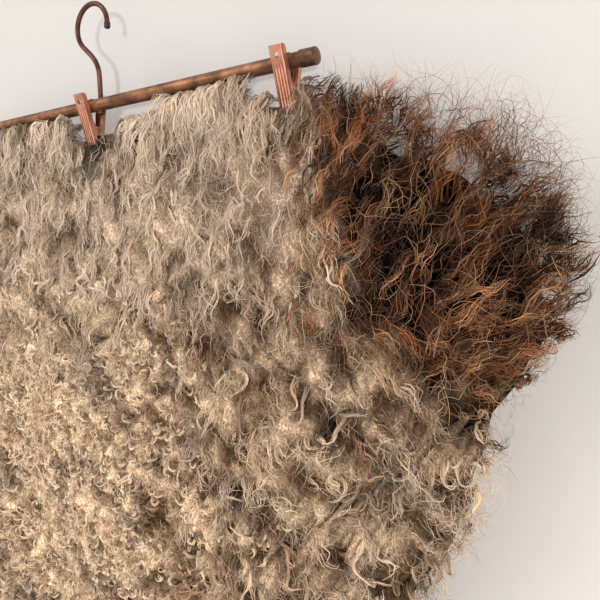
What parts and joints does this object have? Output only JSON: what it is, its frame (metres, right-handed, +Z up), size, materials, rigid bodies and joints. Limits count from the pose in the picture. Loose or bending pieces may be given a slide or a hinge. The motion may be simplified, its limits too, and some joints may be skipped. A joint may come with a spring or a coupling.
{
  "type": "clip hanger with fleece",
  "caption": "Wire-hooked clip hanger: sprung clips slide along a round rod and grip the felted edge of a hanging long-wool fleece.",
  "frame": {"origin": "inner top of the hook's bow, where the hanger rests on what holds it up", "axes": "+Z up, +X along the rod to the viewer's right, -Y towards the viewer, +Y towards the wall"},
  "size_m": [0.7199, 0.0583, 1.0566],
  "materials": {
    "hook_bronze": "satin",
    "black_tip": "satin",
    "rod_copper": "satin",
    "cap_bronze": "satin",
    "clip_copper": "satin",
    "rivet_brass": "satin",
    "spring_steel": "polished",
    "dark_rubber": "matte",
    "grey_felt": "matte",
    "cream_wool": "matte"
  },
  "bodies": {
    "hook": {"hook_wire": "hook_bronze", "hook_tip_cap": "black_tip", "stem_washer": "hook_bronze", "stem_nut": "hook_bronze"},
    "rod": {"rod_tube": "rod_copper", "left_rod_cap": "cap_bronze", "right_rod_cap": "cap_bronze"},
    "fleece": {"fleece_backing": "grey_felt", "wool_pile": "cream_wool"},
    "left_clip": {"left_clip_back_jaw": "clip_copper", "left_clip_back_pad": "dark_rubber", "left_clip_rivet": "rivet_brass", "left_clip_spring": "spring_steel"},
    "left_jaw": {"left_clip_front_jaw": "clip_copper", "left_clip_front_pad": "dark_rubber"},
    "middle_clip": {"middle_clip_back_jaw": "clip_copper", "middle_clip_back_pad": "dark_rubber", "middle_clip_rivet": "rivet_brass", "middle_clip_spring": "spring_steel"},
    "middle_jaw": {"middle_clip_front_jaw": "clip_copper", "middle_clip_front_pad": "dark_rubber"},
    "right_clip": {"right_clip_back_jaw": "clip_copper", "right_clip_back_pad": "dark_rubber", "right_clip_rivet": "rivet_brass", "right_clip_spring": "spring_steel"},
    "right_jaw": {"right_clip_front_jaw": "clip_copper", "right_clip_front_pad": "dark_rubber"}
  },
  "joints": [
    {"name": "rod_swivel", "type": "hinge", "parent": "hook", "child": "rod", "pos_m": [0.0055, 0, -0.0775], "axis": [0, 0, 1], "continuous": true},
    {"name": "fleece_swing", "type": "hinge", "parent": "rod", "child": "fleece", "pos_m": [0.0055, 0, -0.0775], "axis": [1, 0, 0], "range_deg": [-45, 45]},
    {"name": "left_clip_slide", "type": "slide", "parent": "fleece", "child": "left_clip", "axis": [1, 0, 0], "range_m": [-0.005, 0.015]},
    {"name": "left_jaw_opening", "type": "hinge", "parent": "left_clip", "child": "left_jaw", "pos_m": [-0.1765, 0.00139, -0.09745], "axis": [-1, 0, 0], "range_deg": [0, 5.5], "stiffness_Nm_per_rad": 0.5, "springref_deg": -11.46, "deforming": ["left_clip_spring"]},
    {"name": "middle_clip_slide", "type": "slide", "parent": "fleece", "child": "middle_clip", "axis": [1, 0, 0], "range_m": [-0.015, 0.0015]},
    {"name": "middle_jaw_opening", "type": "hinge", "parent": "middle_clip", "child": "middle_jaw", "pos_m": [-0.0055, 0.00139, -0.09745], "axis": [-1, 0, 0], "range_deg": [0, 5.5], "stiffness_Nm_per_rad": 0.5, "springref_deg": -11.46, "deforming": ["middle_clip_spring"]},
    {"name": "right_clip_slide", "type": "slide", "parent": "fleece", "child": "right_clip", "axis": [1, 0, 0], "range_m": [-0.015, 0.005]},
    {"name": "right_jaw_opening", "type": "hinge", "parent": "right_clip", "child": "right_jaw", "pos_m": [0.1875, 0.00139, -0.09745], "axis": [-1, 0, 0], "range_deg": [0, 5.5], "stiffness_Nm_per_rad": 0.5, "springref_deg": -11.46, "deforming": ["right_clip_spring"]}
  ]
}
